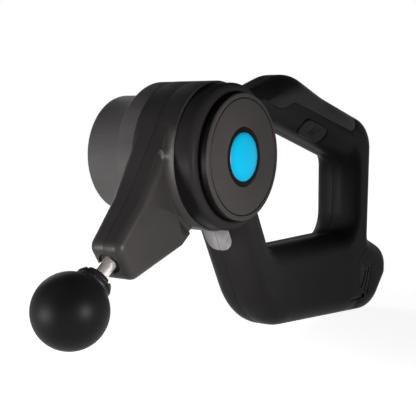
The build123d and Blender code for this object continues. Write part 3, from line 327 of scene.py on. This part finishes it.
def buildHandling():
    # broad faint patches where a surface has been held and wiped
    group, given, result = newGroup(
        "handling",
        [
            ("Color", "NodeSocketColor", (0.5, 0.5, 0.5, 1)),
            ("Lighter", "NodeSocketColor", (0.6, 0.6, 0.6, 1)),
            ("Roughness", "NodeSocketFloat", 0.5),
            ("Spread", "NodeSocketFloat", patchPattern["spread"]),
            ("Scale", "NodeSocketFloat", patchPattern["scale"]),
        ],
        [("Color", "NodeSocketColor"), ("Roughness", "NodeSocketFloat")],
    )
    broad = addNode(group, "ShaderNodeTexNoise", values={
        "Detail": patchPattern["detail"], "Roughness": patchPattern["rough"],
        "Distortion": patchPattern["distortion"],
    })
    ramp = addNode(group, "ShaderNodeMapRange", values={
        "From Min": patchPattern["clean"], "From Max": patchPattern["wiped"],
    })
    tint = addNode(group, "ShaderNodeMix", {"data_type": "RGBA"})
    centred = addNode(group, "ShaderNodeMath", {"operation": "SUBTRACT"}, {1: 0.5})
    spread = addNode(group, "ShaderNodeMath", {"operation": "MULTIPLY"})
    total = addNode(group, "ShaderNodeMath", {"operation": "ADD", "use_clamp": True})
    join(
        group,
        (objectPoint(group), broad.inputs["Vector"]),
        (given.outputs["Scale"], broad.inputs["Scale"]),
        (broad.outputs["Fac"], ramp.inputs["Value"]),
        (ramp.outputs["Result"], tint.inputs["Factor"]),
        (given.outputs["Color"], tint.inputs["A"]),
        (given.outputs["Lighter"], tint.inputs["B"]),
        (ramp.outputs["Result"], centred.inputs[0]),
        (centred.outputs[0], spread.inputs[0]),
        (given.outputs["Spread"], spread.inputs[1]),
        (spread.outputs[0], total.inputs[0]),
        (given.outputs["Roughness"], total.inputs[1]),
        (tint.outputs["Result"], result.inputs["Color"]),
        (total.outputs[0], result.inputs["Roughness"]),
    )
    return group


# cosine between the true and the softened normal, from untouched to the full wear and painted
# sheen
wearAndSheenPattern = {"radius": 0.0008, "samples": 4, "flat": 0.995, "fullMark": 0.9}


def buildEdgeWearAndSheen():
    # rounded edges a little lighter, partly from wear and partly a painted sheen
    group, given, result = newGroup(
        "edgeWearAndSheen",
        [
            ("Color", "NodeSocketColor", (0.5, 0.5, 0.5, 1)),
            ("WearAndSheenColor", "NodeSocketColor", (0.7, 0.7, 0.7, 1)),
            ("Amount", "NodeSocketFloat", 0.5),
        ],
        [("Color", "NodeSocketColor")],
    )
    soft = addNode(group, "ShaderNodeBevel", {"samples": wearAndSheenPattern["samples"]}, {
        "Radius": wearAndSheenPattern["radius"],
    })
    shape = addNode(group, "ShaderNodeNewGeometry")
    turn = addNode(group, "ShaderNodeVectorMath", {"operation": "DOT_PRODUCT"})
    edge = addNode(group, "ShaderNodeMapRange", values={
        "From Min": wearAndSheenPattern["flat"], "From Max": wearAndSheenPattern["fullMark"],
    })
    scale = addNode(group, "ShaderNodeMath", {"operation": "MULTIPLY"})
    tint = addNode(group, "ShaderNodeMix", {"data_type": "RGBA"})
    join(
        group,
        (soft.outputs["Normal"], turn.inputs[0]),
        (shape.outputs["Normal"], turn.inputs[1]),
        (turn.outputs["Value"], edge.inputs["Value"]),
        (edge.outputs["Result"], scale.inputs[0]),
        (given.outputs["Amount"], scale.inputs[1]),
        (scale.outputs[0], tint.inputs["Factor"]),
        (given.outputs["Color"], tint.inputs["A"]),
        (given.outputs["WearAndSheenColor"], tint.inputs["B"]),
        (tint.outputs["Result"], result.inputs["Color"]),
    )
    return group


# streaks between "faint" and "strong" make the metal this much smoother or rougher
streakPattern = {
    "detail": 4.0, "rough": 0.7, "faint": 0.3, "strong": 0.7,
    "smoother": 0.06, "rougher": 0.08, "strength": 0.5,
}


def buildBrushLines():
    # fine streaks along one direction, set by the stretch of the point
    group, given, result = newGroup(
        "brushLines",
        [("Stretch", "NodeSocketVector", (20.0, 1500.0, 1500.0))],
        [("Streak", "NodeSocketFloat")],
    )
    stretch = addNode(group, "ShaderNodeVectorMath", {"operation": "MULTIPLY"})
    noise = addNode(group, "ShaderNodeTexNoise", values={
        "Scale": 1.0, "Detail": streakPattern["detail"], "Roughness": streakPattern["rough"],
    })
    join(
        group,
        (objectPoint(group), stretch.inputs[0]),
        (given.outputs["Stretch"], stretch.inputs[1]),
        (stretch.outputs[0], noise.inputs["Vector"]),
        (noise.outputs["Fac"], result.inputs["Streak"]),
    )
    return group


mouldGrain = buildMouldGrain()
handling = buildHandling()
edgeWearAndSheen = buildEdgeWearAndSheen()
brushLines = buildBrushLines()
print("node groups built")


def addBump(tree, shader, height, depth, strength):
    bump = addNode(tree, "ShaderNodeBump", values={"Distance": depth, "Strength": strength})
    join(
        tree,
        (height, bump.inputs["Height"]),
        (bump.outputs["Normal"], shader.inputs["Normal"]),
    )


# tone, lighter patches and edges lighter from wear and a painted sheen, then roughness and its
# spread, gloss level, grain scale and depth, and how strong the edges' wear and painted sheen are
mouldedFinishes = {
    "shell_plastic": {
        "tone": (0.0175, 0.0162, 0.0163), "lighter": (0.023, 0.0213, 0.0214),
        "wearAndSheenTone": (0.045, 0.0425, 0.043),
        "rough": 0.42, "spread": 0.08, "gloss": 0.12,
        "grain": 2400.0, "depth": 0.00004, "wearAndSheen": 0.35,
    },
    # painted shade: the shell plastic made darker for the handle, whose faces take less light
    "shaded_handle_plastic": {
        "tone": (0.0135, 0.0128, 0.0131), "lighter": (0.017, 0.0162, 0.0165),
        "wearAndSheenTone": (0.028, 0.0268, 0.0272),
        "rough": 0.42, "spread": 0.08, "gloss": 0.02,
        "grain": 2400.0, "depth": 0.00004, "wearAndSheen": 0.3,
    },
    "disc_plastic": {
        "tone": (0.028, 0.026, 0.0255), "lighter": (0.032, 0.0296, 0.0291),
        "wearAndSheenTone": (0.07, 0.066, 0.064),
        "rough": 0.48, "spread": 0.06, "gloss": 0.06,
        "grain": 2600.0, "depth": 0.00003, "wearAndSheen": 0.45,
    },
    "soft_grip": {
        "tone": (0.0075, 0.0072, 0.0075), "lighter": (0.0125, 0.012, 0.0123),
        "wearAndSheenTone": (0.03, 0.029, 0.0295),
        "rough": 0.4, "spread": 0.1, "gloss": 0.08,
        "grain": 3200.0, "depth": 0.00003, "wearAndSheen": 0.25,
    },
    "button_plastic": {
        "tone": (0.007, 0.0067, 0.0069), "lighter": (0.018, 0.0172, 0.0178),
        "wearAndSheenTone": (0.04, 0.0385, 0.039),
        "rough": 0.42, "spread": 0.06, "gloss": 0.05,
        "grain": 3000.0, "depth": 0.00002, "wearAndSheen": 0.5,
    },
    "inner_plastic": {
        "tone": (0.05, 0.05, 0.05), "lighter": (0.06, 0.06, 0.06), "wearAndSheenTone": (0.09, 0.09, 0.09),
        "rough": 0.6, "spread": 0.08, "gloss": 0.3,
        "grain": 1500.0, "depth": 0.00004, "wearAndSheen": 0.2,
    },
    "bush_plastic": {
        "tone": (0.62, 0.58, 0.48), "lighter": (0.68, 0.64, 0.55), "wearAndSheenTone": (0.72, 0.68, 0.6),
        "rough": 0.45, "spread": 0.08, "gloss": 0.4,
        "grain": 1200.0, "depth": 0.00003, "wearAndSheen": 0.2,
    },
    "collar_plastic": {
        "tone": (0.008, 0.0078, 0.008), "lighter": (0.011, 0.0108, 0.011),
        "wearAndSheenTone": (0.03, 0.029, 0.029),
        "rough": 0.38, "spread": 0.08, "gloss": 0.12,
        "grain": 2600.0, "depth": 0.00002, "wearAndSheen": 0.6,
    },
    "socket_black": {
        "tone": (0.012, 0.012, 0.012), "lighter": (0.016, 0.016, 0.016),
        "wearAndSheenTone": (0.03, 0.03, 0.03),
        "rough": 0.4, "spread": 0.05, "gloss": 0.4,
        "grain": 2500.0, "depth": 0.00002, "wearAndSheen": 0.3,
    },
    "ball_rubber": {
        "tone": (0.0038, 0.0038, 0.0041), "lighter": (0.0062, 0.0062, 0.0067),
        "wearAndSheenTone": (0.014, 0.014, 0.014),
        "rough": 0.5, "spread": 0.12, "gloss": 0.06,
        "grain": 1800.0, "depth": 0.00004, "wearAndSheen": 0.3,
    },
    "seal_rubber": {
        "tone": (0.012, 0.012, 0.012), "lighter": (0.016, 0.016, 0.016),
        "wearAndSheenTone": (0.03, 0.03, 0.03),
        "rough": 0.7, "spread": 0.05, "gloss": 0.1,
        "grain": 1500.0, "depth": 0.00004, "wearAndSheen": 0.2,
    },
    "circuit_board": {
        "tone": (0.012, 0.09, 0.04), "lighter": (0.016, 0.11, 0.05), "wearAndSheenTone": (0.05, 0.16, 0.09),
        "rough": 0.35, "spread": 0.05, "gloss": 0.5,
        "grain": 900.0, "depth": 0.00002, "wearAndSheen": 0.3,
    },
    "cell_foil": {
        "tone": (0.32, 0.36, 0.42), "lighter": (0.38, 0.42, 0.48), "wearAndSheenTone": (0.5, 0.54, 0.6),
        "rough": 0.3, "spread": 0.08, "gloss": 0.5,
        "grain": 300.0, "depth": 0.00006, "wearAndSheen": 0.3,
    },
}


def mouldedMaterial(name, look):
    material, tree, shader = newMaterial(name)
    held = useGroup(tree, handling, {
        "Color": rgba(look["tone"]), "Lighter": rgba(look["lighter"]),
        "Roughness": look["rough"], "Spread": look["spread"],
    })
    # edges made lighter: partly wear, partly a painted sheen
    wearAndSheen = useGroup(tree, edgeWearAndSheen, {"WearAndSheenColor": rgba(look["wearAndSheenTone"]), "Amount": look["wearAndSheen"]})
    grain = useGroup(tree, mouldGrain, {"Scale": look["grain"]})
    join(
        tree,
        (held.outputs["Color"], wearAndSheen.inputs["Color"]),
        (wearAndSheen.outputs["Color"], shader.inputs["Base Color"]),
        (held.outputs["Roughness"], shader.inputs["Roughness"]),
    )
    setSockets(shader, {"Specular IOR Level": look["gloss"]})
    addBump(tree, shader, grain.outputs["Height"], look["depth"], grainPattern["strength"])
    return material


# painted shade: the release button is made black on its skirt, this far behind its face, and in
# the face's groove
buttonShadow = {
    "tone": (0.0035, 0.0034, 0.0035), "depth": 0.0011, "blend": 0.0002,
    "grooveRadius": 0.0337, "grooveHalf": 0.0004,
}


def paintShadeOnSkirtAndGroove(material):
    # mixes the painted shade, black, over the colour that the release button already has
    tree = material.node_tree
    shader = tree.nodes["Principled BSDF"]
    painted = shader.inputs["Base Color"].links[0].from_socket
    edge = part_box("release_button")[0].y + buttonShadow["depth"]
    along = addNode(tree, "ShaderNodeSeparateXYZ")
    behind = addNode(tree, "ShaderNodeMapRange", values={
        "From Min": edge, "From Max": edge + buttonShadow["blend"],
    })
    flat = addNode(tree, "ShaderNodeVectorMath", {"operation": "MULTIPLY"}, {1: (1.0, 0.0, 1.0)})
    radius = addNode(tree, "ShaderNodeVectorMath", {"operation": "LENGTH"})
    groove = addNode(tree, "ShaderNodeMath", {"operation": "COMPARE"}, {
        1: buttonShadow["grooveRadius"], 2: buttonShadow["grooveHalf"],
    })
    tint = addNode(tree, "ShaderNodeMix", {"data_type": "RGBA"})
    tint.inputs["B"].default_value = rgba(buttonShadow["tone"])
    point = objectPoint(tree)
    join(
        tree,
        (point, along.inputs[0]),
        (point, flat.inputs[0]),
        (flat.outputs["Vector"], radius.inputs[0]),
        (radius.outputs["Value"], groove.inputs[0]),
        (along.outputs["Y"], behind.inputs["Value"]),
        (larger(tree, behind.outputs["Result"], groove.outputs[0]), tint.inputs["Factor"]),
        (painted, tint.inputs["A"]),
        (tint.outputs["Result"], shader.inputs["Base Color"]),
    )


# tone and streaks, then roughness, metallic share and gloss level, and the stretch (x, y, z)
# and depth of the streaks
metalFinishes = {
    "barrel_satin": {
        "tone": (0.042, 0.0402, 0.0406), "streak": (0.07, 0.0674, 0.068),
        "rough": 0.46, "metal": 0.0, "gloss": 0.06,
        "stretch": (900.0, 60.0, 900.0), "depth": 0.00002,
    },
    "polished_shaft": {
        "tone": (0.66, 0.63, 0.6), "streak": (0.8, 0.77, 0.74),
        "rough": 0.24, "metal": 0.8, "gloss": 0.5,
        "stretch": (90.0, 90.0, 90.0), "depth": 0.000004,
    },
    "bright_steel": {
        "tone": (0.45, 0.45, 0.45), "streak": (0.55, 0.55, 0.55),
        "rough": 0.3, "metal": 1.0, "gloss": 0.5,
        "stretch": (1200.0, 80.0, 1200.0), "depth": 0.00001,
    },
    "spring_steel": {
        "tone": (0.28, 0.28, 0.28), "streak": (0.36, 0.36, 0.36),
        "rough": 0.35, "metal": 1.0, "gloss": 0.5,
        "stretch": (400.0, 400.0, 400.0), "depth": 0.00001,
    },
    "dark_steel": {
        "tone": (0.04, 0.04, 0.04), "streak": (0.07, 0.07, 0.07),
        "rough": 0.4, "metal": 0.9, "gloss": 0.5,
        "stretch": (800.0, 800.0, 800.0), "depth": 0.00001,
    },
    "motor_steel": {
        "tone": (0.22, 0.22, 0.22), "streak": (0.3, 0.3, 0.3),
        "rough": 0.4, "metal": 1.0, "gloss": 0.5,
        "stretch": (1000.0, 60.0, 1000.0), "depth": 0.00001,
    },
    "cast_aluminium": {
        "tone": (0.5, 0.5, 0.51), "streak": (0.58, 0.58, 0.6),
        "rough": 0.42, "metal": 1.0, "gloss": 0.5,
        "stretch": (700.0, 700.0, 700.0), "depth": 0.00002,
    },
    "contact_brass": {
        "tone": (0.6, 0.44, 0.18), "streak": (0.7, 0.54, 0.26),
        "rough": 0.28, "metal": 1.0, "gloss": 0.5,
        "stretch": (900.0, 90.0, 900.0), "depth": 0.00001,
    },
    "winding_copper": {
        "tone": (0.46, 0.16, 0.06), "streak": (0.6, 0.24, 0.1),
        "rough": 0.3, "metal": 0.9, "gloss": 0.5,
        "stretch": (2200.0, 60.0, 2200.0), "depth": 0.0001,
    },
}


def metalMaterial(name, look):
    material, tree, shader = newMaterial(name)
    lines = useGroup(tree, brushLines, {"Stretch": look["stretch"]})
    tint = addNode(tree, "ShaderNodeMix", {"data_type": "RGBA"})
    tint.inputs["A"].default_value = rgba(look["tone"])
    tint.inputs["B"].default_value = rgba(look["streak"])
    rough = addNode(tree, "ShaderNodeMapRange", values={
        "From Min": streakPattern["faint"], "From Max": streakPattern["strong"],
        "To Min": look["rough"] - streakPattern["smoother"],
        "To Max": look["rough"] + streakPattern["rougher"],
    })
    streak = lines.outputs["Streak"]
    join(
        tree,
        (streak, tint.inputs["Factor"]),
        (streak, rough.inputs["Value"]),
        (tint.outputs["Result"], shader.inputs["Base Color"]),
        (rough.outputs["Result"], shader.inputs["Roughness"]),
    )
    setSockets(shader, {"Metallic": look["metal"], "Specular IOR Level": look["gloss"]})
    addBump(tree, shader, streak, look["depth"], streakPattern["strength"])
    return material


# "flatness" is how many times deeper than its radius the fade reaches, so it follows the face
badgeFinish = {
    "tone": (0.0, 0.335, 0.56), "deep": (0.0, 0.27, 0.46), "edge": 0.35, "flatness": 4,
    "speckScale": 900.0, "speckDetail": 2.0, "speck": 0.12,
    "rough": 0.35, "gloss": 0.05, "coat": 0.06, "coatRough": 0.05,
}


def badgeMaterial():
    # blue print under a clear domed resin, a little deeper towards its edge
    material, tree, shader = newMaterial("badge_blue")
    low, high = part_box("badge")
    radius = (high.x - low.x) / 2
    mapping = addNode(tree, "ShaderNodeMapping", {"vector_type": "TEXTURE"}, {
        "Location": (low + high) / 2,
        "Scale": (radius, radius * badgeFinish["flatness"], radius),
    })
    fall = addNode(tree, "ShaderNodeTexGradient", {"gradient_type": "SPHERICAL"})
    ramp = addNode(tree, "ShaderNodeMapRange", values={
        "From Min": 0.0, "From Max": badgeFinish["edge"],
    })
    noise = addNode(tree, "ShaderNodeTexNoise", values={
        "Scale": badgeFinish["speckScale"], "Detail": badgeFinish["speckDetail"],
    })
    specks = addNode(tree, "ShaderNodeMath", {"operation": "MULTIPLY_ADD"}, {
        1: badgeFinish["speck"], 2: -badgeFinish["speck"] / 2,
    })
    total = addNode(tree, "ShaderNodeMath", {"operation": "ADD", "use_clamp": True})
    tint = addNode(tree, "ShaderNodeMix", {"data_type": "RGBA"})
    tint.inputs["A"].default_value = rgba(badgeFinish["deep"])
    tint.inputs["B"].default_value = rgba(badgeFinish["tone"])
    point = objectPoint(tree)
    join(
        tree,
        (point, mapping.inputs["Vector"]),
        (mapping.outputs["Vector"], fall.inputs["Vector"]),
        (fall.outputs["Fac"], ramp.inputs["Value"]),
        (point, noise.inputs["Vector"]),
        (noise.outputs["Fac"], specks.inputs[0]),
        (ramp.outputs["Result"], total.inputs[0]),
        (specks.outputs[0], total.inputs[1]),
        (total.outputs[0], tint.inputs["Factor"]),
        (tint.outputs["Result"], shader.inputs["Base Color"]),
    )
    setSockets(shader, {
        "Roughness": badgeFinish["rough"], "Specular IOR Level": badgeFinish["gloss"],
        "Coat Weight": badgeFinish["coat"], "Coat Roughness": badgeFinish["coatRough"],
    })
    return material


ringFinish = {
    "tone": (0.0018, 0.0018, 0.002), "lighter": (0.00252, 0.00252, 0.0028),
    "rough": 0.12, "gloss": 0.03, "spread": 0.06, "scale": 60.0,
}


def glossBlackMaterial():
    material, tree, shader = newMaterial("gloss_black")
    held = useGroup(tree, handling, {
        "Color": rgba(ringFinish["tone"]), "Lighter": rgba(ringFinish["lighter"]),
        "Roughness": ringFinish["rough"], "Spread": ringFinish["spread"],
        "Scale": ringFinish["scale"],
    })
    join(
        tree,
        (held.outputs["Color"], shader.inputs["Base Color"]),
        (held.outputs["Roughness"], shader.inputs["Roughness"]),
    )
    setSockets(shader, {"Specular IOR Level": ringFinish["gloss"]})
    return material


# painted shade: the lens darkens from "lit" to "dark", measured along Y, with a moulding seam at
# its middle
lensFinish = {
    "tone": (0.12, 0.116, 0.117), "lighter": (0.2, 0.195, 0.196), "shaded": (0.05, 0.048, 0.05),
    "rough": 0.4, "spread": 0.1, "scale": 90.0,
    "lit": 0.0005, "dark": 0.008, "shade": 0.8, "seam": 0.00025,
    "grain": 3000.0, "depth": 0.00002, "strength": 0.5,
    "scatter": 0.25, "scatterRadius": (0.002, 0.002, 0.002),
}


def lensMaterial():
    # frosted light-pipe plastic: cloudy, with a satin skin and a painted shade along Y
    material, tree, shader = newMaterial("frosted_lens")
    held = useGroup(tree, handling, {
        "Color": rgba(lensFinish["tone"]), "Lighter": rgba(lensFinish["lighter"]),
        "Roughness": lensFinish["rough"], "Spread": lensFinish["spread"],
        "Scale": lensFinish["scale"],
    })
    grain = useGroup(tree, mouldGrain, {"Scale": lensFinish["grain"]})
    across = addNode(tree, "ShaderNodeSeparateXYZ")
    # painted shade: the lens is darker along Y
    side = addNode(tree, "ShaderNodeMapRange", values={
        "From Min": lensFinish["lit"], "From Max": lensFinish["dark"],
        "To Min": 0.0, "To Max": lensFinish["shade"],
    })
    offset = addNode(tree, "ShaderNodeMath", {"operation": "ABSOLUTE"})
    seam = addNode(tree, "ShaderNodeMath", {"operation": "LESS_THAN"}, {1: lensFinish["seam"]})
    tint = addNode(tree, "ShaderNodeMix", {"data_type": "RGBA"})
    tint.inputs["B"].default_value = rgba(lensFinish["shaded"])
    join(
        tree,
        (objectPoint(tree), across.inputs[0]),
        (across.outputs["Y"], side.inputs["Value"]),
        (across.outputs["Y"], offset.inputs[0]),
        (offset.outputs[0], seam.inputs[0]),
        (larger(tree, side.outputs["Result"], seam.outputs[0]), tint.inputs["Factor"]),
        (held.outputs["Color"], tint.inputs["A"]),
        (tint.outputs["Result"], shader.inputs["Base Color"]),
        (held.outputs["Roughness"], shader.inputs["Roughness"]),
    )
    setSockets(shader, {
        "Subsurface Weight": lensFinish["scatter"],
        "Subsurface Radius": lensFinish["scatterRadius"], "Subsurface Scale": 1.0,
    })
    addBump(tree, shader, grain.outputs["Height"], lensFinish["depth"], lensFinish["strength"])
    return material


finishes = {name: mouldedMaterial(name, look) for name, look in mouldedFinishes.items()}
finishes.update({name: metalMaterial(name, look) for name, look in metalFinishes.items()})
finishes["badge_blue"] = badgeMaterial()
# painted shade on the release button's skirt and in its face's groove
paintShadeOnSkirtAndGroove(finishes["disc_plastic"])
finishes["gloss_black"] = glossBlackMaterial()
finishes["frosted_lens"] = lensMaterial()
print("finishes made:", len(finishes))

# nodes painted darker than the rest of their slot's, a painted shade for faces that take less
# light
finishOfNode = {
    "handle_near_shell": "shaded_handle_plastic",
    "handle_far_shell": "shaded_handle_plastic",
    "battery_end_cap": "shaded_handle_plastic",
}

# pieces that get smooth shading, and the angle above which an edge of each stays sharp
smoothSkins = {
    "handle_near_shell": 30, "handle_far_shell": 30, "grip_cover": 30, "battery_end_cap": 30,
    "arm_near_shell": 30, "arm_far_shell": 30, "trim_ring": 30, "motor_barrel": 30,
    "release_button": 30, "badge_ring": 30, "badge": 40, "indicator_lens": 30,
    "power_button": 30, "nose_seal": 30, "drive_shaft": 30, "head_collar": 30,
    "rubber_ball": 40, "battery_latch": 30, "charge_socket": 30, "lock_ring": 30,
    "pivot_spindle": 30, "return_spring": 50, "shaft_bush": 30,
    "battery_case": 30, "battery_bay": 30, "battery_bay_frame": 30,
}
mergeDistance = 0.000002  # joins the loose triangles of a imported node


def deselectAll():
    if bpy.context.object and bpy.context.object.mode != "OBJECT":
        bpy.ops.object.mode_set(mode="OBJECT")
    bpy.ops.object.select_all(action="DESELECT")


def pick(piece):
    deselectAll()
    piece.select_set(True)
    bpy.context.view_layer.objects.active = piece


def dress(piece, nodeName):
    piece.data.materials.clear()
    piece.data.materials.append(finishes[finishOfNode.get(nodeName, slotOfNode[nodeName])])


def smoothSkin(nodeName, angle):
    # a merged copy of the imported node, so its rounds shade as rounds
    piece = nodes[nodeName].copy()
    piece.data = nodes[nodeName].data.copy()
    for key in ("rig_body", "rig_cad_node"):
        if key in piece:
            del piece[key]
    piece.parent = None
    piece.name = nodeName + "_skin"
    bpy.context.scene.collection.objects.link(piece)
    pick(piece)
    bpy.ops.object.mode_set(mode="EDIT")
    bpy.ops.mesh.select_all(action="SELECT")
    bpy.ops.mesh.remove_doubles(threshold=mergeDistance)
    bpy.ops.object.mode_set(mode="OBJECT")
    bpy.ops.object.shade_smooth_by_angle(angle=math.radians(angle))
    modifier = piece.modifiers.new("flatFacesStayFlat", "WEIGHTED_NORMAL")
    modifier.keep_sharp = True
    bpy.ops.object.modifier_apply(modifier=modifier.name)
    dress(piece, nodeName)
    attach(piece, bodyOfNode[nodeName])
    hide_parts(nodeName)
    return piece


skins = {name: smoothSkin(name, angle) for name, angle in smoothSkins.items()}
print("smooth skins made:", len(skins))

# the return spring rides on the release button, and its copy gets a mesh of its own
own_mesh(skins["return_spring"])

for name, node in nodes.items():
    if name not in skins:
        dress(node, name)
print("inner pieces dressed")

deselectAll()
